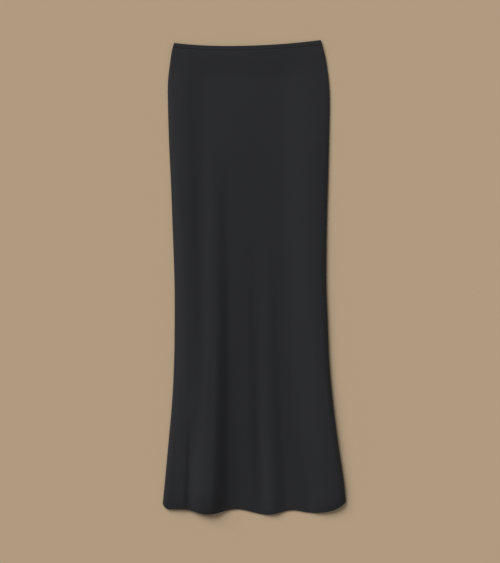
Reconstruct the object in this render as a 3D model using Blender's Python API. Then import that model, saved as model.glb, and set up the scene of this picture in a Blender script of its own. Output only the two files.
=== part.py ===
"""Maxi skirt laid flat: a front and a back panel sewn up both sides, under a narrow elastic waistband.

Metres, +Z up. The skirt lies on the plane Z = 0 with its front facing up and its waist towards +Y.
The origin is the middle of its footprint. Sizes along the skirt are drops, counted from the lowest
point of the waist edge. Places across it are shares of its width, 0 at the left side seam and 1 at
the right one, as seen from above.
"""

import math

import bpy

# The cut
HEM_DROP = 0.985
BAND_DEPTH = 0.0095
CLOTH_THICKNESS = 0.0012
BAND_THICKNESS = 0.0022
SEAM_GAP = 0.0003

# How high the layers lie
BAND_HEIGHT = 0.0060
SEAM_HEIGHT = BAND_HEIGHT / 2
REST_HEIGHT = 2 * CLOTH_THICKNESS + SEAM_GAP + 0.0001
BAND_EDGE_LIFT = BAND_HEIGHT - (BAND_THICKNESS - CLOTH_THICKNESS) / 2 - REST_HEIGHT
BAND_LIFT_FADES = 0.07

# The waist edge dips between the two sides
WAIST_LOW_AT = 0.36
WAIST_RISE_LEFT = 0.0062
WAIST_RISE_RIGHT = 0.0124

# The hem rises round each bottom corner: (rise, share of the width that it takes)
CORNER_LEFT = (0.0122, 0.04)
CORNER_RIGHT = (0.0165, 0.12)
BACK_HEM_SHORTER = 0.004

# The front's hem hangs lower where each fold runs out over it
HEM_LOBES = (
    # crest, reach to the left, reach to the right, dip
    (0.245, 0.14, 0.16, 0.0103),
    (0.570, 0.17, 0.17, 0.0115),
    (0.830, 0.17, 0.17, 0.0080),
)

# Half widths either side of the centre line, and how far in each side rolls over
OUTLINE = (
    # drop, left, right, left roll, right roll
    (-0.012, 0.1559, 0.1561, 0.0032, 0.0032),
    (0.011, 0.1617, 0.1621, 0.0032, 0.0032),
    (0.032, 0.1649, 0.1666, 0.0045, 0.0045),
    (0.075, 0.1698, 0.1723, 0.0100, 0.0090),
    (0.117, 0.1700, 0.1742, 0.0150, 0.0110),
    (0.202, 0.1676, 0.1727, 0.0170, 0.0120),
    (0.288, 0.1636, 0.1706, 0.0190, 0.0130),
    (0.373, 0.1604, 0.1683, 0.0200, 0.0140),
    (0.500, 0.1560, 0.1670, 0.0200, 0.0140),
    (0.586, 0.1556, 0.1700, 0.0200, 0.0140),
    (0.671, 0.1568, 0.1736, 0.0190, 0.0140),
    (0.756, 0.1610, 0.1813, 0.0170, 0.0140),
    (0.841, 0.1685, 0.1919, 0.0150, 0.0130),
    (0.927, 0.1764, 0.2047, 0.0130, 0.0140),
    (0.975, 0.1812, 0.2096, 0.0120, 0.0140),
)

# Soft folds that run down the front, as heights above the resting cloth at these shares of the way
# from the waistband to the hem
STATIONS = (0.0, 0.08, 0.20, 0.40, 0.60, 0.80, 0.95, 1.0)
FOLDS = (
    # name, crest at the waist, crest at the hem, reach to the left, reach to the right, share in the
    # back, heights in mm
    ("left side", 0.075, 0.075, 0.30, 0.16, 0.0, (0.6, 4.2, 5.6, 7.4, 8.4, 8.0, 7.4, 5.0)),
    ("left rise", 0.260, 0.250, 0.24, 0.35, 0.0, (0.0, 0.4, 1.6, 3.6, 5.8, 7.6, 7.8, 5.6)),
    ("left flute", 0.272, 0.262, 0.18, 0.094, 0.4, (0.0, 0.0, 0.8, 3.8, 7.8, 11.8, 13.8, 9.6)),
    ("middle ripple", 0.470, 0.490, 0.09, 0.05, 0.0, (0.0, 0.0, 0.0, 0.2, 0.4, 0.8, 1.2, 1.2)),
    ("middle flute", 0.620, 0.600, 0.085, 0.085, 0.4, (0.0, 0.0, 0.0, 0.4, 1.4, 3.4, 6.2, 6.2)),
    ("right flute", 0.895, 0.955, 0.22, 0.22, 0.0, (0.6, 4.2, 5.6, 7.2, 8.4, 9.8, 10.2, 8.0)),
)
BACK_FOLDS_START = 0.006

# The share of a side's height that stands upright at the seam
UPRIGHT = 0.08

# How finely each surface is divided
ROLL_STEPS = 5
FRONT_COLUMNS = 40
FRONT_ROWS = 36
BACK_COLUMNS = 22
BACK_ROWS = 24
BAND_COLUMNS = 20
BAND_ROWS = 3

CLOTH_COLOUR = (0.0245, 0.0245, 0.0262, 1.0)
BAND_COLOUR = (0.0225, 0.0220, 0.0242, 1.0)
CLOTH_ROUGHNESS = 0.72

MM = 0.001


def remove_everything():
    for thing in list(bpy.data.objects):
        bpy.data.objects.remove(thing)


def smooth_value(points, at):
    """Value at `at` on a smooth curve through (place, value) points, level beyond both ends."""
    if at <= points[0][0]:
        return points[0][1]
    if at >= points[-1][0]:
        return points[-1][1]
    last = len(points) - 1
    here = max(i for i in range(last) if points[i][0] <= at)

    def slope(i):
        before, after = points[max(i - 1, 0)], points[min(i + 1, last)]
        return (after[1] - before[1]) / (after[0] - before[0])

    (x0, y0), (x1, y1) = points[here], points[here + 1]
    span = x1 - x0
    t = (at - x0) / span
    start, end = slope(here) * span, slope(here + 1) * span
    return (
        y0 * (1 + 2 * t) * (1 - t) ** 2
        + start * t * (1 - t) ** 2
        + y1 * t * t * (3 - 2 * t)
        - end * t * t * (1 - t)
    )


def outline_value(drop, column):
    return smooth_value([(row[0], row[column]) for row in OUTLINE], drop)


def outline_at(drop):
    """(left edge, width, left roll, right roll) at a drop."""
    left, right, left_roll, right_roll = (outline_value(drop, column) for column in (1, 2, 3, 4))
    return -left, left + right, left_roll, right_roll


def waist_drop(share):
    """Drop of the waist edge, at or above its lowest point."""
    if share < WAIST_LOW_AT:
        return -WAIST_RISE_LEFT * ((WAIST_LOW_AT - share) / WAIST_LOW_AT) ** 2
    return -WAIST_RISE_RIGHT * ((share - WAIST_LOW_AT) / (1 - WAIST_LOW_AT)) ** 2


def corner_rise(share_from_side, corner):
    rise, reach = corner
    return rise * max(0.0, 1 - share_from_side / reach) ** 3


def plain_hem_drop(share):
    return HEM_DROP - corner_rise(share, CORNER_LEFT) - corner_rise(1 - share, CORNER_RIGHT)


def swell(share, crest, left_reach, right_reach):
    """1 on a crest, falling smoothly to 0 at its reach on either side."""
    away = share - crest
    reach = left_reach if away < 0 else right_reach
    if abs(away) >= reach:
        return 0.0
    return math.cos(math.pi / 2 * away / reach) ** 2


def fold_height(fold, share, down):
    """How far a fold lifts the cloth here: `share` across, `down` the panel."""
    _, waist_crest, hem_crest, left_reach, right_reach, _, heights = fold
    crest = waist_crest + (hem_crest - waist_crest) * down
    crest_height = max(0.0, smooth_value(list(zip(STATIONS, heights)), down)) * MM
    return crest_height * swell(share, crest, left_reach, right_reach)


def front_hem_drop(share):
    dips = sum(dip * swell(share, *lobe) for *lobe, dip in HEM_LOBES)
    return plain_hem_drop(share) + dips


def back_hem_drop(share):
    inner = 4 * share * (1 - share)
    return plain_hem_drop(share) - BACK_HEM_SHORTER * inner


def front_height(share, down):
    """Height of the front's outer side over the ground."""
    fade = max(0.0, 1 - down / BAND_LIFT_FADES)
    lift = BAND_EDGE_LIFT * fade * fade * (3 - 2 * fade)
    folds = sum(fold_height(fold, share, down) for fold in FOLDS)
    return REST_HEIGHT + max(lift, 0.0) * (1 - min(1.0, folds / BAND_HEIGHT)) + folds


def back_height(share, down):
    """Height of the back's underside: flat on the ground, but for shallow folds near the hem."""
    return sum(
        fold[5] * max(0.0, fold_height(fold, share, down) - BACK_FOLDS_START) for fold in FOLDS
    )


def rolled_side():
    """(inset in rolls, share of the full height) from the seam inwards, upright at the seam itself."""
    turns = [math.pi / 2 * step / ROLL_STEPS for step in range(ROLL_STEPS)]
    return [(0.0, 0.0)] + [
        (1 - math.cos(turn), UPRIGHT + (1 - UPRIGHT) * math.sin(turn)) for turn in turns
    ]


def columns_across(width, left_roll, right_roll, count):
    """(distance from the left edge, share of the full height) of each column of a panel."""
    left = [(left_roll * inset, full) for inset, full in rolled_side()]
    right = [(width - right_roll * inset, full) for inset, full in rolled_side()]
    flat = width - left_roll - right_roll
    middle = [(left_roll + flat * step / count, 1.0) for step in range(count + 1)]
    return left + middle + right[::-1]


def rows_down(count):
    """Shares of the way down a panel, closer together near both ends."""
    even = [step / count for step in range(count + 1)]
    return [(share + (1 - math.cos(math.pi * share)) / 2) / 2 for share in even]


def panel_points(rows, column_count, hem_drop, height, roll_of, edge_height):
    """Rows of points on a panel's outer side, from the waistband down to the hem."""
    points = []
    for down in rows:
        row = []
        plan_drop = HEM_DROP * down
        _, width, left_roll, right_roll = outline_at(plan_drop)
        left_roll, right_roll = roll_of(left_roll), roll_of(right_roll)
        for distance, full in columns_across(width, left_roll, right_roll, column_count):
            share = distance / width
            top = waist_drop(share) + BAND_DEPTH + SEAM_GAP
            drop = top + (hem_drop(share) - top) * down
            left, row_width, _, _ = outline_at(drop)
            z = edge_height + (height(share, down) - edge_height) * full
            row.append((left + row_width * share, -drop, z))
        points.append(row)
    return points


def mesh_from_rows(name, rows, closed=False, facing_up=True):
    """A mesh of quads through rows of points; `closed` joins each row's ends."""
    across = len(rows[0])
    last = across if closed else across - 1
    faces = []
    for r in range(len(rows) - 1):
        for c in range(last):
            after = (c + 1) % across
            face = (
                r * across + c,
                (r + 1) * across + c,
                (r + 1) * across + after,
                r * across + after,
            )
            faces.append(face if facing_up else face[::-1])
    mesh = bpy.data.meshes.new(name)
    mesh.from_pydata([point for row in rows for point in row], [], faces)
    mesh.shade_smooth()
    return mesh


def cloth_material(name, colour):
    material = bpy.data.materials.new(name)
    material.use_nodes = True
    shader = material.node_tree.nodes["Principled BSDF"]
    shader.inputs["Base Color"].default_value = colour
    shader.inputs["Roughness"].default_value = CLOTH_ROUGHNESS
    shader.inputs["Metallic"].default_value = 0.0
    material.diffuse_color = colour
    return material


def add_piece(name, mesh, thickness, material, parent):
    """A sewn piece: the mesh is its outer side, and the cloth's thickness goes inwards."""
    piece = bpy.data.objects.new(name, mesh)
    bpy.context.scene.collection.objects.link(piece)
    piece.parent = parent
    mesh.materials.append(material)
    wall = piece.modifiers.new("cloth thickness", "SOLIDIFY")
    wall.thickness = thickness
    wall.offset = -1.0
    wall.use_even_offset = True
    return piece


def front_panel_rows():
    return panel_points(
        rows_down(FRONT_ROWS),
        FRONT_COLUMNS,
        front_hem_drop,
        front_height,
        lambda roll: roll,
        SEAM_HEIGHT + SEAM_GAP / 2,
    )


def back_panel_rows():
    edge = SEAM_HEIGHT - SEAM_GAP / 2
    return panel_points(
        rows_down(BACK_ROWS), BACK_COLUMNS, back_hem_drop, back_height, lambda roll: edge, edge
    )


def waistband_rows():
    """Rings round the outside of the flattened waistband, from its top edge down to its seam."""
    radius = BAND_HEIGHT / 2
    turns = [math.pi * step / (2 * ROLL_STEPS) for step in range(1, 2 * ROLL_STEPS)]
    rings = []
    for row in range(BAND_ROWS + 1):
        depth = BAND_DEPTH * row / BAND_ROWS
        ring = []

        def add(share, inset, z):
            drop = waist_drop(share) + depth
            left, width, _, _ = outline_at(drop)
            x = left + radius + (width - 2 * radius) * share + inset
            ring.append((x, -drop, z))

        for step in range(BAND_COLUMNS + 1):
            add(step / BAND_COLUMNS, 0.0, BAND_HEIGHT)
        for turn in turns:
            add(1.0, radius * math.sin(turn), radius + radius * math.cos(turn))
        for step in range(BAND_COLUMNS, -1, -1):
            add(step / BAND_COLUMNS, 0.0, 0.0)
        for turn in turns:
            add(0.0, -radius * math.sin(turn), radius - radius * math.cos(turn))
        rings.append(ring)
    return rings


def footprint_centre():
    """Middle of the whole outline, in x and y."""
    shares = [step / 200 for step in range(201)]
    drops = [HEM_DROP * share for share in shares]
    left = min(outline_at(drop)[0] for drop in drops)
    right = max(sum(outline_at(drop)[:2]) for drop in drops)
    top = -min(waist_drop(share) for share in shares)
    bottom = -max(front_hem_drop(share) for share in shares)
    return (left + right) / 2, (top + bottom) / 2


def build_skirt():
    remove_everything()
    middle_x, middle_y = footprint_centre()
    skirt = bpy.data.objects.new("skirt", None)
    skirt.location = (-middle_x, -middle_y, 0.0)
    bpy.context.scene.collection.objects.link(skirt)

    cloth = cloth_material("jersey", CLOTH_COLOUR)
    elastic = cloth_material("band jersey", BAND_COLOUR)

    front = mesh_from_rows("front_panel", front_panel_rows())
    back = mesh_from_rows("back_panel", back_panel_rows(), facing_up=False)
    band = mesh_from_rows("waistband", waistband_rows(), closed=True)
    add_piece("front_panel", front, CLOTH_THICKNESS, cloth, skirt)
    add_piece("back_panel", back, CLOTH_THICKNESS, cloth, skirt)
    add_piece("waistband", band, BAND_THICKNESS, elastic, skirt)


build_skirt()
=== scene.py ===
# %% [markdown]
# # A maxi skirt laid flat
# A slim black jersey skirt lies on its back and is seen from straight above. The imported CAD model
# gives its size and place. This script dresses it: fine cloth shells over the plain panels, an
# elastic casing at the waist, rows of stitches, a knitted surface, soft light and a camera.
# Every size is in metres unless its name says millimetres.

# %% Load the frame
import math

import bpy
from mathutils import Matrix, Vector, noise


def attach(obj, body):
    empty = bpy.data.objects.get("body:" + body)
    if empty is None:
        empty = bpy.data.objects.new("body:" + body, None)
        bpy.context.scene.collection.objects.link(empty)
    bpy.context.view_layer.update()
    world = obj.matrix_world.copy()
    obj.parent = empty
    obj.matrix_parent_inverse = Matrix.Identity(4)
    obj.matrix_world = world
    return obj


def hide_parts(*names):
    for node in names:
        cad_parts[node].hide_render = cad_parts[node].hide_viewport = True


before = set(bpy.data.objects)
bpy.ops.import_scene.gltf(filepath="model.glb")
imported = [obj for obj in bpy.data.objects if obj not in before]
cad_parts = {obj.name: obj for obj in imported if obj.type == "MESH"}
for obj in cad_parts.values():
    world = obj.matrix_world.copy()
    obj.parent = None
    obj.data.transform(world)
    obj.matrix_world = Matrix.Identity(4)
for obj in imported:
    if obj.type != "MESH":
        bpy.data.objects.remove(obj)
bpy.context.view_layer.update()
MM = 0.001

# %% [markdown]
# ## Camera
# The photograph was taken from above, with the camera over the middle of the picture. An
# orthographic camera would give the outline, but raised folds wouldn't lean outwards as they do
# there. So this is a perspective camera at 2.4 m, with the lens that gives the photograph's scale
# on the floor.

# %% Camera over the skirt
METRES_A_PIXEL = 0.00213
PICTURE_HEIGHT_PIXELS = 563
CAMERA_HEIGHT = 2.4
CAMERA_OVER = (-0.0094, -0.0087)
CAMERA_SEES_TO = 50.0
SENSOR_MM = 36.0


def put_in_scene(name, data):
    """A new object with this data, at the origin."""
    made = bpy.data.objects.new(name, data)
    bpy.context.scene.collection.objects.link(made)
    return made


def add_camera():
    camera = bpy.data.cameras.new("camera")
    camera.sensor_fit = "AUTO"
    camera.sensor_width = SENSOR_MM
    camera.lens = SENSOR_MM * CAMERA_HEIGHT / (PICTURE_HEIGHT_PIXELS * METRES_A_PIXEL)
    camera.clip_end = CAMERA_SEES_TO
    holder = put_in_scene("camera", camera)
    holder.location = (*CAMERA_OVER, CAMERA_HEIGHT)
    bpy.context.scene.camera = holder
    print("lens", round(camera.lens, 1), "mm")


add_camera()

# %% [markdown]
# ## The cut of the skirt
# The skirt is two panels of nearly the same cut: in at the waist, out over the hips, in a little
# below them, and flared to the hem. A curve could be drawn over the photograph by eye. A short
# table of half widths with a smooth curve through it is used instead, because the CAD model is
# built from the same one, and the cloth then lies exactly on it. Places along the skirt are drops
# below the lowest point of the waist edge. Places across it are shares of its width, from 0 at the
# left side seam to 1 at the right one.

# %% Outline of both panels
MIDDLE_X = 0.0142
MIDDLE_Y = -0.49205
OUTLINE = (
    # drop, left, right, left roll, right roll
    (-0.012, 0.1559, 0.1561, 0.0032, 0.0032),
    (0.011, 0.1617, 0.1621, 0.0032, 0.0032),
    (0.032, 0.1649, 0.1666, 0.0045, 0.0045),
    (0.075, 0.1698, 0.1723, 0.0100, 0.0090),
    (0.117, 0.1700, 0.1742, 0.0150, 0.0110),
    (0.202, 0.1676, 0.1727, 0.0170, 0.0120),
    (0.288, 0.1636, 0.1706, 0.0190, 0.0130),
    (0.373, 0.1604, 0.1683, 0.0200, 0.0140),
    (0.500, 0.1560, 0.1670, 0.0200, 0.0140),
    (0.586, 0.1556, 0.1700, 0.0200, 0.0140),
    (0.671, 0.1568, 0.1736, 0.0190, 0.0140),
    (0.756, 0.1610, 0.1813, 0.0170, 0.0140),
    (0.841, 0.1685, 0.1919, 0.0150, 0.0130),
    (0.927, 0.1764, 0.2047, 0.0130, 0.0140),
    (0.975, 0.1812, 0.2096, 0.0120, 0.0140),
)


def smooth_value(points, at):
    """Value at `at` on a smooth curve through (place, value) points, level beyond both ends."""
    if at <= points[0][0]:
        return points[0][1]
    if at >= points[-1][0]:
        return points[-1][1]
    last = len(points) - 1
    here = max(i for i in range(last) if points[i][0] <= at)

    def slope(i):
        before, after = points[max(i - 1, 0)], points[min(i + 1, last)]
        return (after[1] - before[1]) / (after[0] - before[0])

    (x0, y0), (x1, y1) = points[here], points[here + 1]
    span = x1 - x0
    t = (at - x0) / span
    start, end = slope(here) * span, slope(here + 1) * span
    return (
        y0 * (1 + 2 * t) * (1 - t) ** 2
        + start * t * (1 - t) ** 2
        + y1 * t * t * (3 - 2 * t)
        - end * t * t * (1 - t)
    )


def outline_at(drop):
    """(left edge, width, left roll, right roll) at a drop."""
    left, right, left_roll, right_roll = (
        smooth_value([(row[0], row[column]) for row in OUTLINE], drop) for column in (1, 2, 3, 4)
    )
    return -left, left + right, left_roll, right_roll


print("outline from", len(OUTLINE), "rows, at the hem", round(outline_at(1.0)[1], 4), "wide")

# %% Waist edge
WAIST_LOW_AT = 0.36
WAIST_RISE_LEFT = 0.0062
WAIST_RISE_RIGHT = 0.0124


def waist_drop(share):
    """Drop of the waist edge, which rises from its lowest point to both corners."""
    if share < WAIST_LOW_AT:
        return -WAIST_RISE_LEFT * ((WAIST_LOW_AT - share) / WAIST_LOW_AT) ** 2
    return -WAIST_RISE_RIGHT * ((share - WAIST_LOW_AT) / (1 - WAIST_LOW_AT)) ** 2


print("waist edge", round(outline_at(0.0)[1], 4), "wide")

# %% Hem edges
HEM_DROP = 0.985
BACK_HEM_SHORTER = 0.004
HEM_CORNERS = (
    # rise at the corner, share of the width that it takes; the left corner, then the right one
    (0.0122, 0.04),
    (0.0165, 0.12),
)
HEM_LOBES = (
    # crest, reach to the left, reach to the right, dip
    (0.245, 0.14, 0.16, 0.0103),
    (0.570, 0.17, 0.17, 0.0115),
    (0.830, 0.17, 0.17, 0.0080),
)


def swell(share, crest, left_reach, right_reach):
    """1 on a crest, falling smoothly to 0 at its reach on either side."""
    away = share - crest
    reach = left_reach if away < 0 else right_reach
    if abs(away) >= reach:
        return 0.0
    return math.cos(math.pi / 2 * away / reach) ** 2


def plain_hem_drop(share):
    """Drop of a hem that is level between its two corners, which rise."""
    drop = HEM_DROP
    for away, (rise, reach) in zip((share, 1 - share), HEM_CORNERS):
        drop -= rise * max(0.0, 1 - away / reach) ** 3
    return drop


def front_hem_drop(share):
    """The front's hem dips where the soft folds run out over it."""
    return plain_hem_drop(share) + sum(dip * swell(share, *lobe) for *lobe, dip in HEM_LOBES)


def back_hem_drop(share):
    """The back's hem is a little shorter in the middle, so that the front covers it."""
    return plain_hem_drop(share) - BACK_HEM_SHORTER * 4 * share * (1 - share)


print("lowest point of the front hem", round(max(front_hem_drop(at / 100) for at in range(101)), 4))

# %% [markdown]
# ## Soft folds
# The flare doesn't lie flat. Its extra cloth stands up in soft folds, which start below the hips
# and grow towards the hem. A cloth simulation makes folds too, but not where the photograph has
# them. So each fold is a row of a table: where its crest runs, how far it reaches to either side,
# and its height at eight stations down the skirt. The CAD model's solids have the same folds. The
# back lifts a little under those that have a share in it.

# %% Table of folds
STATIONS = (0.0, 0.08, 0.20, 0.40, 0.60, 0.80, 0.95, 1.0)
FOLDS = (
    # name, crest at the waist, crest at the hem, reach to the left, reach to the right, share in the
    # back, heights in mm
    ("left side", 0.075, 0.075, 0.30, 0.16, 0.0, (0.6, 4.2, 5.6, 7.4, 8.4, 8.0, 7.4, 5.0)),
    ("left rise", 0.260, 0.250, 0.24, 0.35, 0.0, (0.0, 0.4, 1.6, 3.6, 5.8, 7.6, 7.8, 5.6)),
    ("left flute", 0.272, 0.262, 0.18, 0.094, 0.4, (0.0, 0.0, 0.8, 3.8, 7.8, 11.8, 13.8, 9.6)),
    ("middle ripple", 0.470, 0.490, 0.09, 0.05, 0.0, (0.0, 0.0, 0.0, 0.2, 0.4, 0.8, 1.2, 1.2)),
    ("middle flute", 0.620, 0.600, 0.085, 0.085, 0.4, (0.0, 0.0, 0.0, 0.4, 1.4, 3.4, 6.2, 6.2)),
    ("right flute", 0.895, 0.955, 0.22, 0.22, 0.0, (0.6, 4.2, 5.6, 7.2, 8.4, 9.8, 10.2, 8.0)),
)


def folds_in_row(down):
    """(swell's shape, share in the back, crest height) of each fold in one row."""
    row = []
    for _, waist_crest, hem_crest, left_reach, right_reach, in_back, heights in FOLDS:
        crest = waist_crest + (hem_crest - waist_crest) * down
        height = max(0.0, smooth_value(list(zip(STATIONS, heights)), down)) * MM
        row.append(((crest, left_reach, right_reach), in_back, height))
    return row


print("soft folds:", ", ".join(fold[0] for fold in FOLDS))

# %% [markdown]
# ## Creases
# Cloth that was smoothed out by hand keeps faint creases. A noise texture as a displacement would
# spread the same crease everywhere. These are placed one by one instead, as soft troughs and ridges
# that run down the skirt, each with its own length and depth and its own reach on either side. The
# strongest follow the photograph. The back has similar ones, shallow enough to stay clear of the
# front. Slow noise adds a fifth of a millimetre of unevenness.

# %% Creases on both sides
CREASE_ENDS_SOFTNESS = 0.8
CREASE_NOTHING_PAST = 2.5
FRONT_CREASES = (
    # share at its top, share at its bottom, from, to (shares of the length), reach to the left in
    # mm, reach to the right in mm, height in mm
    (0.050, 0.105, 0.20, 0.88, 18, 30, 2.4),
    (0.170, 0.185, 0.16, 0.92, 11, 14, -0.9),
    (0.128, 0.150, 0.80, 1.14, 7, 16, -4.0),
    (0.262, 0.235, 0.40, 1.06, 7, 16, -1.1),
    (0.365, 0.355, 0.25, 1.04, 12, 14, -0.8),
    (0.385, 0.395, 0.82, 1.16, 22, 60, -3.2),
    (0.420, 0.405, 0.45, 0.98, 14, 20, -0.5),
    (0.520, 0.545, 0.50, 1.06, 7, 12, -1.2),
    (0.680, 0.700, 0.50, 1.10, 10, 16, -0.9),
    (0.750, 0.800, 0.84, 1.16, 30, 26, -2.4),
    (0.560, 0.590, 0.18, 0.70, 30, 30, 0.5),
    (0.780, 0.820, 0.10, 0.72, 24, 24, 0.5),
    (0.975, 0.980, 0.38, 1.20, 38, 20, 2.8),
    (0.930, 0.950, -0.02, 0.20, 50, 30, -1.5),
    (0.480, 0.470, 0.02, 0.34, 40, 40, 0.4),
    (0.935, 0.950, 0.30, 0.86, 10, 10, -0.3),
    (0.250, 0.290, 0.04, 0.30, 26, 26, -0.5),
    (0.640, 0.610, 0.03, 0.24, 30, 30, -0.4),
)
BACK_CREASES = (
    (0.180, 0.160, 0.10, 0.60, 20, 26, -0.5),
    (0.330, 0.350, 0.30, 0.90, 14, 18, -0.6),
    (0.470, 0.450, 0.05, 0.55, 26, 20, -0.4),
    (0.620, 0.640, 0.40, 1.05, 16, 22, -0.6),
    (0.760, 0.740, 0.15, 0.70, 18, 14, -0.5),
    (0.880, 0.860, 0.50, 0.98, 12, 18, -0.5),
)


def crease_height(creases, share, down, width):
    """Sum of the creases here, in metres, fading out at both ends of each."""
    total = 0.0
    for top, bottom, start, end, left_mm, right_mm, height_mm in creases:
        if not start < down < end:
            continue
        along = (down - start) / (end - start)
        from_middle = share - (top + (bottom - top) * along)
        reach_mm = left_mm if from_middle < 0 else right_mm
        away = from_middle * width / (reach_mm * MM)
        if abs(away) < CREASE_NOTHING_PAST:
            strength = math.sin(math.pi * along) ** CREASE_ENDS_SOFTNESS
            total += height_mm * MM * math.exp(-away * away) * strength
    return total


print(len(FRONT_CREASES), "creases on the front,", len(BACK_CREASES), "on the back")

# %% Slow unevenness
UNEVEN_MM = 0.22
UNEVEN_ACROSS = 26
UNEVEN_ALONG = 7
FRONT_UNEVEN_SEED = 7.3
BACK_UNEVEN_SEED = 17.3


def uneven(x, y, seed):
    """Slow, shallow unevenness, longer down the skirt than across it."""
    return UNEVEN_MM * MM * noise.noise(Vector((x * UNEVEN_ACROSS, y * UNEVEN_ALONG, seed)))


print("unevenness up to", UNEVEN_MM, "mm")

# %% [markdown]
# ## Shape of the panels
# The sides of each panel roll over towards the seams, its top tucks in under the casing, and its
# hem droops a little. A plane could be simulated as cloth and pushed about, but it would drift from
# the CAD model. So a fine grid of points is worked out on the cloth's outer side, from the tables
# above. Its rows and columns are close together where the shape turns fast: at the side seams, the
# waist seam, the stitches and the hem.

# %% Rows down a panel
FRONT_SPACING = 0.0050
BACK_SPACING = 0.0080
STITCH_ROWS_MM = (18.5, 13.5)
BESIDE_STITCHES_MM = (0.8, 0.4, 0, -0.4, -0.8)
PLAIN_HEM_ROWS_MM = (28, 24, 21.5, 20.2, 16.8, 15.2, 11.8, 9.5, 6.5, 4, 2, 0.8, 0)
TOP_ROWS_MM = (0, 0.4, 0.9, 1.5, 2.2, 3.2, 5, 8)


def rows_down(length, spacing):
    """Shares of the way down, close together at the waist seam, the stitches and the hem."""
    stitch_rows = [row + beside for row in STITCH_ROWS_MM for beside in BESIDE_STITCHES_MM]
    hem_rows = sorted((*PLAIN_HEM_ROWS_MM, *stitch_rows), reverse=True)
    top = [mm * MM for mm in TOP_ROWS_MM]
    hem = [length - mm * MM for mm in hem_rows]
    count = round((hem[0] - top[-1]) / spacing)
    middle = [top[-1] + (hem[0] - top[-1]) * step / count for step in range(1, count)]
    return [place / length for place in top + middle + hem]


print("rows of the front", len(rows_down(HEM_DROP, FRONT_SPACING)))

# %% Columns across a panel
FRONT_COLUMNS = 96
BACK_COLUMNS = 84
ROLL_STEPS = 12
UPRIGHT = 0.08
SIDE_GROOVE = 0.0003
CLOSER_AT_SIDES = 0.6


def columns_across(width, left_roll, right_roll, count):
    """(distance from the left edge, share of the full height) of each column of a panel."""
    turns = [math.pi / 2 * step / ROLL_STEPS for step in range(ROLL_STEPS)]
    roll = [(1 - math.cos(turn), UPRIGHT + (1 - UPRIGHT) * math.sin(turn)) for turn in turns]
    left = [(SIDE_GROOVE, 0.0)]
    left += [(left_roll * inset, full) for inset, full in roll]
    right = [(width - SIDE_GROOVE, 0.0)]
    right += [(width - right_roll * inset, full) for inset, full in roll]
    flat = width - left_roll - right_roll
    evenly = [step / count for step in range(count + 1)]
    eased = [at - CLOSER_AT_SIDES * math.sin(2 * math.pi * at) / (2 * math.pi) for at in evenly]
    middle = [(left_roll + flat * at, 1.0) for at in eased]
    return left + middle + right[::-1]


print("columns of the front", FRONT_COLUMNS + 1, "and", ROLL_STEPS + 1, "in the roll at each side")

# %% Height of the front
REST_HEIGHT = 0.0028
BAND_HEIGHT = 0.0060
BAND_EDGE_LIFT = 0.0032
BAND_LIFT_FADES = 0.07
SEAM_TUCK = 0.0001
SEAM_TUCK_LENGTH = 0.0016
HEM_DROOP = 0.40
HEM_DROOP_LENGTH = 0.030
FRONT_LOWEST = 0.00262
SOFT_FLOOR = 0.0002
WELL_OVER = 20


def front_height(share, down, folds, width, length):
    """Folds and creases over the rest height, lifted at the casing and drooping at the hem."""
    fade = max(0.0, 1 - down / BAND_LIFT_FADES)
    lift = BAND_EDGE_LIFT * fade * fade * (3 - 2 * fade)
    raised = sum(height * swell(share, *shape) for shape, _, height in folds)
    tuck = SEAM_TUCK * max(0.0, 1 - down * length / SEAM_TUCK_LENGTH) ** 2
    creases = crease_height(FRONT_CREASES, share, down, width)
    z = REST_HEIGHT + lift * (1 - min(1.0, raised / BAND_HEIGHT)) + raised + creases - tuck
    from_hem = (1 - down) * length
    droop = HEM_DROOP * max(0.0, 1 - from_hem / HEM_DROOP_LENGTH) ** 2
    return z - droop * max(0.0, z - REST_HEIGHT)


def clear_of_the_back(z):
    """z, or just over FRONT_LOWEST where z would sink below it, with no kink between the two."""
    over = (z - FRONT_LOWEST) / SOFT_FLOOR
    return z if over > WELL_OVER else FRONT_LOWEST + SOFT_FLOOR * math.log1p(math.exp(over))


# %% Height of the back
BACK_FOLDS_START = 0.006


def back_height(share, down, folds, width, _):
    """The two inner flutes lift the back a little where they are tall. It lies flat elsewhere."""
    raised = sum(
        in_back * max(0.0, height * swell(share, *shape) - BACK_FOLDS_START)
        for shape, in_back, height in folds
    )
    return raised - crease_height(BACK_CREASES, share, down, width)


def clear_of_the_ground(z):
    return max(z, 0.0)


# %% Panels as rows of points
BAND_DEPTH = 0.0095
STITCH_GROOVE_HALF_WIDTH = 0.45 * MM


def in_stitch_groove(from_hem):
    """1 in the middle of a hem stitch row, falling to 0 beside it."""
    away = [(from_hem - row * MM) / STITCH_GROOVE_HALF_WIDTH for row in STITCH_ROWS_MM]
    return sum(math.exp(-(at**2)) for at in away)


def panel_rows(columns, spacing, roll, hem_drop, height, clear, edge_height, groove, seed):
    """(rows of points, rows of (across, along, down)) on a panel's outer side.

    A panel with no roll of its own takes the outline's. Its side edges lie at edge_height.
    """
    points, places = [], []
    for down in rows_down(HEM_DROP, spacing):
        row, place = [], []
        _, width, left_roll, right_roll = outline_at(HEM_DROP * down)
        folds = folds_in_row(down)
        in_groove = in_stitch_groove((1 - down) * HEM_DROP)
        for distance, full in columns_across(width, roll or left_roll, roll or right_roll, columns):
            share = distance / width
            top = waist_drop(share) + BAND_DEPTH
            bottom = hem_drop(share)
            drop = top + (bottom - top) * down
            left, row_width, _, _ = outline_at(drop)
            x = left + row_width * share - MIDDLE_X
            y = -drop - MIDDLE_Y
            high = height(share, down, folds, width, bottom - top) + uneven(x, y, seed)
            z = clear(edge_height + (high - edge_height) * full)
            row.append((x, y, z + groove * full * in_groove))
            place.append((share * width, drop, down))
        points.append(row)
        places.append(place)
    return points, places


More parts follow.
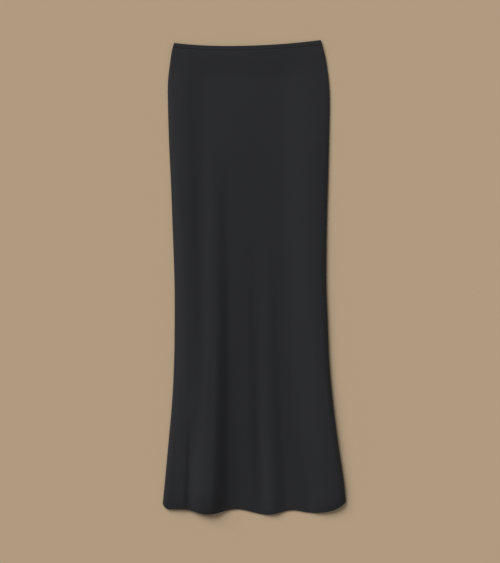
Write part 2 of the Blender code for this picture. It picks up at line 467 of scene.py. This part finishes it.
SEAM_HEIGHT = 0.0030
HALF_SEAM_GAP = 0.01 * MM
FRONT_STITCH_GROOVE = 0.00012
BACK_STITCH_GROOVE = 0.00030
front_points, front_places = panel_rows(
    columns=FRONT_COLUMNS,
    spacing=FRONT_SPACING,
    roll=None,
    hem_drop=front_hem_drop,
    height=front_height,
    clear=clear_of_the_back,
    edge_height=SEAM_HEIGHT + HALF_SEAM_GAP,
    groove=-FRONT_STITCH_GROOVE,
    seed=FRONT_UNEVEN_SEED,
)
back_points, back_places = panel_rows(
    columns=BACK_COLUMNS,
    spacing=BACK_SPACING,
    roll=SEAM_HEIGHT,
    hem_drop=back_hem_drop,
    height=back_height,
    clear=clear_of_the_ground,
    edge_height=SEAM_HEIGHT - HALF_SEAM_GAP,
    groove=BACK_STITCH_GROOVE,
    seed=BACK_UNEVEN_SEED,
)
for name, points in (("front", front_points), ("back", back_points)):
    print(name, "highest point", round(max(z for row in points for _, _, z in row) / MM, 2), "mm")

# %% [markdown]
# ## Lips at the side seams
# A side seam lets no light through. The two shells could be merged there, but each stands for a
# CAD panel of its own. So they end a fiftieth of a millimetre apart, and the front gets a narrow
# lip on either side that tucks in behind the back's edge, as a seam allowance does.

# %% Seam lips on the front
LIP_INSET = 0.0010
LIP_DEPTH = 0.0007


def add_lips(points, places):
    """Adds a column of points at both ends of every row, inwards and down from the edge."""
    lip = math.hypot(LIP_INSET, LIP_DEPTH)
    for row, place in zip(points, places):
        (x0, y0, z0), (x1, y1, z1) = row[0], row[-1]
        across0, along0, down = place[0]
        across1, along1, _ = place[-1]
        row.insert(0, (x0 + LIP_INSET, y0, z0 - LIP_DEPTH))
        row.append((x1 - LIP_INSET, y1, z1 - LIP_DEPTH))
        place.insert(0, (across0 - lip, along0, down))
        place.append((across1 + lip, along1, down))
    print("lips", round(lip / MM, 2), "mm wide")


add_lips(front_points, front_places)

# %% [markdown]
# ## A knitted surface
# Jersey is knitted: its right side is made of fine columns of small V shapes, about seven columns
# to five millimetres. They could be modelled, but at arm's length they only soften the light, so
# they are a low bump, and the same pattern paints shade into the colour of the grooves between
# them. The pattern is a shader node group that reads the panel's UV map, which is in metres, so the
# stitches keep their real size and follow the folds. A second group gives the slow and fine mottle
# of dyed cloth, and the sewing thread uses it too.

# %% Node helpers
def new_group(name, inputs, outputs):
    """An empty shader node group. Inputs are (name, default), outputs are names."""
    group = bpy.data.node_groups.new(name, "ShaderNodeTree")
    for label, default in inputs:
        kind = "NodeSocketVector" if default is None else "NodeSocketFloat"
        socket = group.interface.new_socket(name=label, in_out="INPUT", socket_type=kind)
        if default is not None:
            socket.default_value = default
    for label in outputs:
        group.interface.new_socket(name=label, in_out="OUTPUT", socket_type="NodeSocketFloat")
    start = group.nodes.new("NodeGroupInput")
    end = group.nodes.new("NodeGroupOutput")
    return group, start, end


def math_node(tree, operation, *values, clamp=False):
    """A Math node. Each value is a number or a socket to link."""
    node = tree.nodes.new("ShaderNodeMath")
    node.operation = operation
    node.use_clamp = clamp
    for socket, value in zip(node.inputs, values):
        if isinstance(value, (int, float)):
            socket.default_value = value
        else:
            tree.links.new(value, socket)
    return node.outputs[0]


def set_values(node, values):
    """Sets a node's own sockets, given as {label: number or colour}."""
    for label, value in values.items():
        node.inputs[label].default_value = value


# %% Jersey knit group
KNIT_COLUMNS_A_METRE = 1400.0
KNIT_ROWS_A_METRE = 1750.0
KNIT_V_SLANT = 0.9
KNIT_COLUMN_SQUARENESS = 3.0
KNIT_LOOP_WAVE = 0.25


def jersey_knit_group():
    """Height of a jersey knit, and a painted shade that darkens its grooves, from a vector in metres.
    """
    group, start, end = new_group(
        "Jersey Knit",
        [
            ("Place", None),
            ("Columns a Metre", KNIT_COLUMNS_A_METRE),
            ("Rows a Metre", KNIT_ROWS_A_METRE),
            ("V Slant", KNIT_V_SLANT),
        ],
        ["Height", "Shade"],
    )
    split = group.nodes.new("ShaderNodeSeparateXYZ")
    group.links.new(start.outputs["Place"], split.inputs[0])
    column = math_node(group, "MULTIPLY", split.outputs[0], start.outputs["Columns a Metre"])
    inside = math_node(group, "SUBTRACT", math_node(group, "FRACT", column), 0.5)
    from_middle = math_node(group, "MULTIPLY", math_node(group, "ABSOLUTE", inside), 2.0)
    row = math_node(group, "MULTIPLY", split.outputs[1], start.outputs["Rows a Metre"])
    slant = math_node(group, "MULTIPLY", from_middle, start.outputs["V Slant"])
    turns = math_node(group, "MULTIPLY", math_node(group, "ADD", row, slant), 2 * math.pi)
    wave = math_node(group, "MULTIPLY", math_node(group, "SINE", turns), KNIT_LOOP_WAVE)
    loops = math_node(group, "ADD", wave, 1 - KNIT_LOOP_WAVE)
    fallen = math_node(group, "POWER", from_middle, KNIT_COLUMN_SQUARENESS)
    rounded_column = math_node(group, "SUBTRACT", 1.0, fallen)
    height = math_node(group, "MULTIPLY", rounded_column, loops)
    group.links.new(height, end.inputs["Height"])
    # Painted shade: the height, clamped, darkens the colour in the grooves between columns and loops.
    group.links.new(math_node(group, "MULTIPLY", height, 1.0, clamp=True), end.inputs["Shade"])
    return group


KNIT = jersey_knit_group()
print("knit group with", len(KNIT.nodes), "nodes")


# %% Mottle group
def mottle_group():
    """Slow and fine unevenness of dyed cloth, both from 0 to 1."""
    group, start, end = new_group(
        "Dyed Cloth Mottle",
        [("Place", None), ("Slow Scale", 9.0), ("Fine Scale", 420.0)],
        ["Slow", "Fine"],
    )
    for label, scale, detail in (("Slow", "Slow Scale", 3.0), ("Fine", "Fine Scale", 2.0)):
        texture = group.nodes.new("ShaderNodeTexNoise")
        texture.inputs["Detail"].default_value = detail
        group.links.new(start.outputs["Place"], texture.inputs["Vector"])
        group.links.new(start.outputs[scale], texture.inputs["Scale"])
        group.links.new(texture.outputs["Fac"], end.inputs[label])
    return group


MOTTLE = mottle_group()
print("mottle group with", len(MOTTLE.nodes), "nodes")


# %% What the cloth and the thread share
def new_material(name, shader_values):
    """(material, its node tree, its shader), with constants on the shader's own sockets."""
    material = bpy.data.materials.new(name)
    material.use_nodes = True
    shader = material.node_tree.nodes["Principled BSDF"]
    set_values(shader, shader_values)
    return material, material.node_tree, shader


def add_mottle(tree):
    """The mottle group in a material, on Object coordinates."""
    where = tree.nodes.new("ShaderNodeTexCoord")
    mottle = tree.nodes.new("ShaderNodeGroup")
    mottle.node_tree = MOTTLE
    tree.links.new(where.outputs["Object"], mottle.inputs["Place"])
    return mottle


def add_colour(tree, shader, dark, light, factor):
    """Base colour from dark to light."""
    colour = tree.nodes.new("ShaderNodeMix")
    colour.data_type = "RGBA"
    set_values(colour, {"A": (*dark, 1.0), "B": (*light, 1.0)})
    tree.links.new(factor, colour.inputs["Factor"])
    tree.links.new(colour.outputs["Result"], shader.inputs["Base Color"])


def add_relief(tree, shader, height, strength, depth):
    """A bump from a height."""
    relief = tree.nodes.new("ShaderNodeBump")
    set_values(relief, {"Strength": strength, "Distance": depth})
    tree.links.new(height, relief.inputs["Height"])
    tree.links.new(relief.outputs["Normal"], shader.inputs["Normal"])


# %% Jersey of the panels and of the casing
CLOTH_UV = "cloth in metres"
CLOTH_SHADER = {
    "Sheen Weight": 0.10,
    "Sheen Roughness": 0.55,
    "Sheen Tint": (0.75, 0.77, 0.85, 1.0),
    "Specular IOR Level": 0.22,
}
SLOW_MOTTLE_SHARE = 0.4
FINE_MOTTLE_SHARE = 0.2
# Share of the colour's mix that is painted shade in the knit's grooves
PAINTED_GROOVE_SHADE_SHARE = 0.4
ROUGHNESS_SPREAD = 0.06
KNIT_BUMP = 0.5
KNIT_DEPTH = 0.00012


def cloth_material(name, dark, light, roughness, columns_a_metre):
    """Dyed jersey: the knit gives the bump and a painted shade in its grooves, and the mottle a little
    of the colour and roughness.
    """
    material, tree, shader = new_material(name, CLOTH_SHADER)
    place = tree.nodes.new("ShaderNodeUVMap")
    place.uv_map = CLOTH_UV
    knit = tree.nodes.new("ShaderNodeGroup")
    knit.node_tree = KNIT
    set_values(knit, {"Columns a Metre": columns_a_metre})
    tree.links.new(place.outputs["UV"], knit.inputs["Place"])
    mottle = add_mottle(tree)

    # The colour mixes the dye's random mottle with painted shade in the knit's grooves.
    slow = math_node(tree, "MULTIPLY", mottle.outputs["Slow"], SLOW_MOTTLE_SHARE)
    fine = math_node(tree, "MULTIPLY", mottle.outputs["Fine"], FINE_MOTTLE_SHARE)
    painted_groove_shade = math_node(tree, "MULTIPLY", knit.outputs["Shade"], PAINTED_GROOVE_SHADE_SHARE)
    shade = math_node(tree, "ADD", math_node(tree, "ADD", slow, fine), painted_groove_shade)
    add_colour(tree, shader, dark, light, shade)

    rough = tree.nodes.new("ShaderNodeMapRange")
    smoothest, roughest = roughness - ROUGHNESS_SPREAD, roughness + ROUGHNESS_SPREAD
    set_values(rough, {"To Min": smoothest, "To Max": roughest})
    tree.links.new(mottle.outputs["Fine"], rough.inputs["Value"])
    tree.links.new(rough.outputs["Result"], shader.inputs["Roughness"])

    add_relief(tree, shader, knit.outputs["Height"], KNIT_BUMP, KNIT_DEPTH)
    return material


JERSEY = cloth_material(
    "black jersey",
    dark=(0.0068, 0.0070, 0.0082),
    light=(0.0107, 0.0110, 0.0126),
    roughness=0.74,
    columns_a_metre=KNIT_COLUMNS_A_METRE,
)
CASING_JERSEY = cloth_material(
    "black jersey over elastic",
    dark=(0.0068, 0.0070, 0.0081),
    light=(0.0107, 0.0109, 0.0125),
    roughness=0.76,
    columns_a_metre=1550.0,
)
print("materials:", JERSEY.name, "and", CASING_JERSEY.name)

# %% [markdown]
# ## Cloth shells
# Each panel is one thickness of jersey, and its hem is turned up and sewn, so the cloth is double
# there. The turned-up strip could be a mesh of its own, but it would never show. Instead a Solidify
# modifier gives each grid its thickness inwards. A vertex group makes the hem about twice as thick
# as the rest, and thins the cloth close to the side seams, where front and back come together. A
# small bevel rounds the edges.

# %% Mesh through rows of points
def mesh_from_rows(name, points, places, facing_up=True, ring=False):
    """A smooth mesh of quads through rows of points, with a UV map in metres.

    In a ring the last row joins the first, and each row is a closed loop.
    """
    rows, across = len(points), len(points[0])
    faces = []
    for r in range(rows if ring else rows - 1):
        here, below = r * across, (r + 1) % rows * across
        for c in range(across if ring else across - 1):
            after = (c + 1) % across
            face = (here + c, below + c, below + after, here + after)
            faces.append(face if facing_up else face[::-1])
    mesh = bpy.data.meshes.new(name)
    mesh.from_pydata([point for row in points for point in row], [], faces)
    flat_places = [place for row in places for place in row]
    uv = mesh.uv_layers.new(name=CLOTH_UV)
    for loop in mesh.loops:
        uv.data[loop.index].uv = flat_places[loop.vertex_index][:2]
    mesh.shade_smooth()
    return mesh


def applied(piece):
    """The piece with its modifiers made part of its mesh, and no vertex groups left on it."""
    graph = bpy.context.evaluated_depsgraph_get()
    mesh = bpy.data.meshes.new_from_object(piece.evaluated_get(graph))
    mesh.name = piece.name
    piece.modifiers.clear()
    piece.data = mesh
    piece.vertex_groups.clear()
    return piece


# %% Thickness and soft edges
HEM_THICKNESS = 0.0011
PLAIN_SHARE = 0.55
HEM_TURN_UP = 0.020
THIN_AT_SIDES = 0.6
THIN_COLUMNS = 6
FRONT_EDGE_ROUNDING = 0.00016
BACK_EDGE_ROUNDING = 0.0001
EDGE_SHARPER_THAN = math.radians(60)


def weigh_thickness(shell, places):
    """A vertex group with the share of the hem's thickness at each point."""
    group = shell.vertex_groups.new(name="share of the hem's thickness")
    across = len(places[0])
    for index, (_, _, down) in enumerate(place for row in places for place in row):
        in_hem = (1 - down) * HEM_DROP < HEM_TURN_UP
        column = index % across
        from_side = min(column, across - 1 - column)
        thinned = THIN_AT_SIDES + (1 - THIN_AT_SIDES) * min(1.0, from_side / THIN_COLUMNS)
        group.add([index], thinned * (1.0 if in_hem else PLAIN_SHARE), "REPLACE")
    return group


def cloth_shell(name, points, places, edge_rounding, facing_up=True):
    """A panel of cloth with its real thickness, doubled at the hem."""
    mesh = mesh_from_rows(name, points, places, facing_up=facing_up)
    mesh.materials.append(JERSEY)
    shell = put_in_scene(name, mesh)
    wall = shell.modifiers.new("cloth thickness", "SOLIDIFY")
    wall.thickness = HEM_THICKNESS
    wall.offset = -1.0
    wall.vertex_group = weigh_thickness(shell, places).name
    edge = shell.modifiers.new("soft edge", "BEVEL")
    edge.width = edge_rounding
    edge.use_clamp_overlap = False
    edge.segments = 2
    edge.limit_method = "ANGLE"
    edge.angle_limit = EDGE_SHARPER_THAN
    return applied(shell)


front = cloth_shell("front", front_points, front_places, FRONT_EDGE_ROUNDING)
back = cloth_shell("back", back_points, back_places, BACK_EDGE_ROUNDING, facing_up=False)
for piece in (front, back):
    print(piece.name, sum(len(face.vertices) - 2 for face in piece.data.polygons), "triangles")

# %% [markdown]
# ## Elastic casing
# A narrow elastic is folded into jersey and sewn to the waist edge. Laid flat it is a ring pressed
# to a slit: two layers with tight turns at both ends. A curve with a bevel profile could follow the
# ring, but not its slanted sides and the dip of the waist at once. So the casing is a rounded loop
# that is worked out at each place round the ring. Relaxed elastic gathers the jersey a little, so
# small uneven waves run round its outer side.

# %% Path of the flattened ring
RING_COLUMNS = 300
RING_TURN_STEPS = 12


def ring_places():
    """(share across, turn angle) round the ring: front, right turn, back, left turn."""
    turns = [math.pi * step / RING_TURN_STEPS for step in range(1, RING_TURN_STEPS)]
    places = [(step / RING_COLUMNS, 0.0) for step in range(RING_COLUMNS + 1)]
    places += [(1.0, turn) for turn in turns]
    places += [(1 - step / RING_COLUMNS, math.pi) for step in range(RING_COLUMNS + 1)]
    places += [(0.0, math.pi + turn) for turn in turns]
    return places


def ring_point(share, turn, depth, inset):
    """A point of the casing: `depth` below the waist edge, `inset` in from the ring's outside."""
    half = BAND_HEIGHT / 2
    left, width, _, _ = outline_at(waist_drop(share) + depth)
    middle_x = left + half + (width - 2 * half) * share
    radius = half - inset
    x = middle_x + radius * math.sin(turn) - MIDDLE_X
    y = -(waist_drop(share) + depth) - MIDDLE_Y
    return x, y, max(0.0, half + radius * math.cos(turn))


print("casing ring of", len(ring_places()), "loops")

# %% Gathers of the relaxed elastic
GATHER_PITCH = 0.0064
GATHER_MM = 0.10
GATHER_DRIFT = 2.4
GATHER_STRENGTH = 0.6
DRIFT_NOISE = (60, 0.0, 3.1)
STRENGTH_NOISE = (35, 5.0, 1.7)


def noise_along(at, settings):
    """Slow noise along a line. Its settings are bumps a metre, then two numbers as its seed."""
    bumps, *seed = settings
    return noise.noise(Vector((at * bumps, *seed)))


def gather_at(round_the_ring):
    """How far the jersey stands out here: waves of uneven spacing and strength."""
    drift = GATHER_DRIFT * noise_along(round_the_ring, DRIFT_NOISE)
    wave = math.sin(2 * math.pi * round_the_ring / GATHER_PITCH + drift)
    strength = GATHER_STRENGTH * (1 + noise_along(round_the_ring, STRENGTH_NOISE))
    return GATHER_MM * MM * wave * strength


print("gathers every", round(GATHER_PITCH / MM, 1), "mm")

# %% Casing swept round the ring
BAND_THICKNESS = 0.0022
ROOM_FOR_GATHERS = 0.1 * MM
LOOP_STEPS = 22
CASING_ROUNDNESS = 6.0
CASING_DEPTH_SHARE = 0.996
# The knit moves on by this at each step round the loop, so its two sides don't mirror each other
KNIT_SHIFT_A_STEP = 0.1 * MM


def rounded(angle):
    """A point on a rounded oblong from -1 to 1 both ways."""
    c, s = math.cos(angle), math.sin(angle)
    power = 2 / CASING_ROUNDNESS
    return math.copysign(abs(c) ** power, c), math.copysign(abs(s) ** power, s)


def casing_loops():
    """(loops of points, loops of UV places, length round the ring)."""
    points, places = [], []
    half_depth = BAND_DEPTH / 2
    half_wall = (BAND_THICKNESS - ROOM_FOR_GATHERS) / 2
    round_the_ring = 0.0
    last = None
    for share, turn in ring_places():
        here = Vector(ring_point(share, turn, half_depth, 0.0))
        round_the_ring += (here - last).length if last else 0.0
        last = here
        gather = gather_at(round_the_ring)
        row, place = [], []
        for step in range(LOOP_STEPS):
            along, out = rounded(2 * math.pi * step / LOOP_STEPS)
            depth = half_depth * (1 + along * CASING_DEPTH_SHARE)
            inset = half_wall * (1 - out) + ROOM_FOR_GATHERS / 2 - gather * max(0.0, out)
            row.append(ring_point(share, turn, depth, inset))
            place.append((round_the_ring, half_depth * along + step * KNIT_SHIFT_A_STEP, 0.0))
        points.append(row)
        places.append(place)
    return points, places, round_the_ring


casing_points, casing_places, ring_length = casing_loops()
casing_mesh = mesh_from_rows("waistband_casing", casing_points, casing_places, ring=True)
casing_mesh.materials.append(CASING_JERSEY)
casing = put_in_scene("waistband_casing", casing_mesh)
print("casing", len(casing_mesh.polygons), "faces, ring length", round(ring_length, 3))

# %% [markdown]
# ## Stitches
# The hem is held by two parallel rows of stitches, and the casing by one row just above its seam.
# The photograph is too coarse to show them, so their places are what is usual on jersey. An Array
# modifier with a Curve modifier would bend each stitch. Instead a Geometry Nodes tree places one
# small rounded stitch every few millimetres along a path on the cloth, turned along the path, and
# Realize Instances makes them a plain mesh.

# %% Geometry Nodes tree for a row of stitches
def stitch_tree():
    tree = bpy.data.node_groups.new("Row of Stitches", "GeometryNodeTree")
    new_socket = tree.interface.new_socket
    new_socket(name="Geometry", in_out="INPUT", socket_type="NodeSocketGeometry")
    for label in ("Pitch", "Stitch Length", "Thread Diameter"):
        new_socket(name=label, in_out="INPUT", socket_type="NodeSocketFloat")
    new_socket(name="Thread", in_out="INPUT", socket_type="NodeSocketMaterial")
    new_socket(name="Geometry", in_out="OUTPUT", socket_type="NodeSocketGeometry")

    def node(kind, **inputs):
        made = tree.nodes.new(kind)
        for label, value in inputs.items():
            socket = made.inputs[label]
            if isinstance(value, bpy.types.NodeSocket):
                tree.links.new(value, socket)
            else:
                socket.default_value = value
        return made

    start = tree.nodes.new("NodeGroupInput")
    path = node("GeometryNodeMeshToCurve", Mesh=start.outputs["Geometry"])
    places = tree.nodes.new("GeometryNodeCurveToPoints")
    places.mode = "LENGTH"
    tree.links.new(path.outputs["Curve"], places.inputs["Curve"])
    tree.links.new(start.outputs["Pitch"], places.inputs["Length"])
    ball = node("GeometryNodeMeshUVSphere", Segments=8, Rings=6, Radius=0.5)
    size = node(
        "ShaderNodeCombineXYZ",
        X=start.outputs["Thread Diameter"],
        Y=start.outputs["Thread Diameter"],
        Z=start.outputs["Stitch Length"],
    )
    stitch = node("GeometryNodeTransform", Geometry=ball.outputs["Mesh"], Scale=size.outputs["Vector"])
    turn = tree.nodes.new("FunctionNodeAlignRotationToVector")
    turn.axis = "Z"
    tree.links.new(places.outputs["Tangent"], turn.inputs["Vector"])
    copies = node(
        "GeometryNodeInstanceOnPoints",
        Points=places.outputs["Points"],
        Instance=stitch.outputs["Geometry"],
        Rotation=turn.outputs["Rotation"],
    )
    real = node("GeometryNodeRealizeInstances", Geometry=copies.outputs["Instances"])
    smooth = node("GeometryNodeSetShadeSmooth", Geometry=real.outputs["Geometry"])
    painted = node(
        "GeometryNodeSetMaterial", Geometry=smooth.outputs["Geometry"], Material=start.outputs["Thread"]
    )
    end = tree.nodes.new("NodeGroupOutput")
    tree.links.new(painted.outputs["Geometry"], end.inputs["Geometry"])
    return tree


STITCH_TREE = stitch_tree()
print("stitch tree with", len(STITCH_TREE.nodes), "nodes")

# %% Sewing thread
THREAD_DARK = (0.012, 0.012, 0.013)
THREAD_LIGHT = (0.026, 0.026, 0.028)
THREAD_TWIST_SCALE = 2600.0
THREAD_BUMP = 0.4
THREAD_DEPTH = 0.00005


def thread_material():
    """Black sewing thread: a fine twist, a little glossier than the cloth."""
    values = {"Roughness": 0.5, "Specular IOR Level": 0.35}
    material, tree, shader = new_material("black sewing thread", values)
    mottle = add_mottle(tree)
    set_values(mottle, {"Fine Scale": THREAD_TWIST_SCALE})
    add_colour(tree, shader, THREAD_DARK, THREAD_LIGHT, mottle.outputs["Fine"])
    add_relief(tree, shader, mottle.outputs["Fine"], THREAD_BUMP, THREAD_DEPTH)
    return material


THREAD = thread_material()
print("material:", THREAD.name)

# %% Stitches along paths
THREAD_DIAMETER = 0.00036


def set_input(modifier, name, value):
    """Sets a modifier's input by its socket's identifier."""
    for item in modifier.node_group.interface.items_tree:
        if item.name == name and item.in_out == "INPUT":
            modifier[item.identifier] = value


def stitched(name, paths, pitch, length):
    """A mesh of stitches along paths, each a list of points."""
    vertices, edges = [], []
    for path in paths:
        first = len(vertices)
        vertices += path
        edges += [(first + i, first + i + 1) for i in range(len(path) - 1)]
    mesh = bpy.data.meshes.new(name)
    mesh.from_pydata(vertices, edges, [])
    piece = put_in_scene(name, mesh)
    sewing = piece.modifiers.new("stitches", "NODES")
    sewing.node_group = STITCH_TREE
    set_input(sewing, "Pitch", pitch)
    set_input(sewing, "Stitch Length", length)
    set_input(sewing, "Thread Diameter", THREAD_DIAMETER)
    set_input(sewing, "Thread", THREAD)
    applied(piece)
    low = min(vertex.co.z for vertex in piece.data.vertices)
    print(name, len(piece.data.polygons), "faces, lowest", round(low / MM, 3), "mm")
    return piece


# %% Hem stitches
HEM_STITCH_PITCH = 0.0030
HEM_STITCH_LENGTH = 0.0025
HEM_THREAD_LIFT = 0.10 * MM
FRONT_COLUMNS_SKIPPED = 6
BACK_COLUMNS_SKIPPED = ROLL_STEPS + 1


def hem_paths(points, places, lift, skipped):
    """Paths along the hem's stitch rows, on a panel's outer side, short of its side seams."""
    from_hem = [(1 - row[0][2]) * HEM_DROP for row in places]
    paths = []
    for stitch_row in STITCH_ROWS_MM:
        row = min(range(len(points)), key=lambda r: abs(from_hem[r] - stitch_row * MM))
        inner = points[row][skipped:-skipped]
        paths.append([(x, y, z + lift) for x, y, z in inner])
    return paths


front_stitches = stitched(
    "hem_stitches_front",
    hem_paths(front_points, front_places, HEM_THREAD_LIFT, FRONT_COLUMNS_SKIPPED),
    HEM_STITCH_PITCH,
    HEM_STITCH_LENGTH,
)
back_stitches = stitched(
    "hem_stitches_back",
    hem_paths(back_points, back_places, -HEM_THREAD_LIFT, BACK_COLUMNS_SKIPPED),
    HEM_STITCH_PITCH,
    HEM_STITCH_LENGTH,
)

# %% Casing stitches
CASING_STITCH_PITCH = 0.0027
CASING_STITCH_LENGTH = 0.0022
CASING_STITCHES_ABOVE_SEAM = 1.9 * MM
CASING_PATH_STEPS = 160
CASING_PATH_STARTS = 0.004
FRONT_THREAD_SUNK = 0.02 * MM
BACK_THREAD_SUNK = THREAD_DIAMETER / 2


def casing_path(turn, sunk):
    """A row just above the casing's seam. Turn 0 is its front layer, half a turn its back one."""
    depth = BAND_DEPTH - CASING_STITCHES_ABOVE_SEAM
    evenly = [step / CASING_PATH_STEPS for step in range(CASING_PATH_STEPS + 1)]
    shares = [CASING_PATH_STARTS + (1 - 2 * CASING_PATH_STARTS) * at for at in evenly]
    return [ring_point(share, turn, depth, sunk) for share in shares]


casing_stitches = stitched(
    "casing_stitches",
    [casing_path(0.0, FRONT_THREAD_SUNK), casing_path(math.pi, BACK_THREAD_SUNK)],
    CASING_STITCH_PITCH,
    CASING_STITCH_LENGTH,
)

# %% [markdown]
# ## Light and floor
# The light is soft and comes from the upper left, so slopes that face right are darker and a narrow
# soft shadow lies along the right side and under the hem. A large area lamp would do it too, but
# its light falls off across the floor. A sun with a wide angle gives the same softness and keeps
# the floor even. An even white world fills the shadows, and the floor is a plain tan backdrop.

# %% Soft sun and even fill
SUN_AZIMUTH = math.radians(-39)
SUN_ELEVATION = math.radians(31)
SUN_WIDTH = math.radians(40)
FILL = 0.36


def add_light():
    """A sun and a world that together show a level floor in its own colour."""
    level = math.cos(SUN_ELEVATION)
    up = math.sin(SUN_ELEVATION)
    toward = Vector((math.sin(SUN_AZIMUTH) * level, math.cos(SUN_AZIMUTH) * level, up))
    sun = bpy.data.lights.new("soft sun", "SUN")
    sun.angle = SUN_WIDTH
    sun.energy = (1 - FILL) * math.pi / up
    holder = put_in_scene("soft sun", sun)
    holder.rotation_euler = toward.to_track_quat("Z", "Y").to_euler()
    world = bpy.data.worlds.new("even fill")
    world.use_nodes = True
    set_values(world.node_tree.nodes["Background"], {"Color": (1.0, 1.0, 1.0, 1.0), "Strength": FILL})
    bpy.context.scene.world = world
    bpy.context.scene.view_settings.view_transform = "Standard"
    print("sun energy", round(sun.energy, 3))


add_light()

# %% Tan backdrop
FLOOR_COLOUR = (0.434, 0.327, 0.216, 1.0)
FLOOR_HALF = 6.0
FLOOR_BELOW = 0.0001


def add_floor():
    """A wide plain floor, just under the skirt."""
    sides = ((-1, -1), (1, -1), (1, 1), (-1, 1))
    corners = [(x * FLOOR_HALF, y * FLOOR_HALF, -FLOOR_BELOW) for x, y in sides]
    mesh = bpy.data.meshes.new("floor")
    mesh.from_pydata(corners, [], [(0, 1, 2, 3)])
    values = {"Base Color": FLOOR_COLOUR, "Roughness": 0.95, "Specular IOR Level": 0.0}
    material, _, _ = new_material("tan backdrop", values)
    mesh.materials.append(material)
    put_in_scene("floor", mesh)
    print("floor", 2 * FLOOR_HALF, "m wide")


add_floor()

# %% [markdown]
# ## Hand over to the frame
# Each piece rides on the skirt's one body, and the three main ones take the place of their plain
# CAD solids.


for piece, node, material_slot in (
    (front, "front_panel", "jersey"),
    (back, "back_panel", "jersey"),
    (casing, "waistband", "band_jersey"),
):
    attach(piece, "root")
    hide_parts(node)
for piece, material_slot in (
    (front_stitches, "jersey"),
    (back_stitches, "jersey"),
    (casing_stitches, "band_jersey"),
):
    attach(piece, "root")
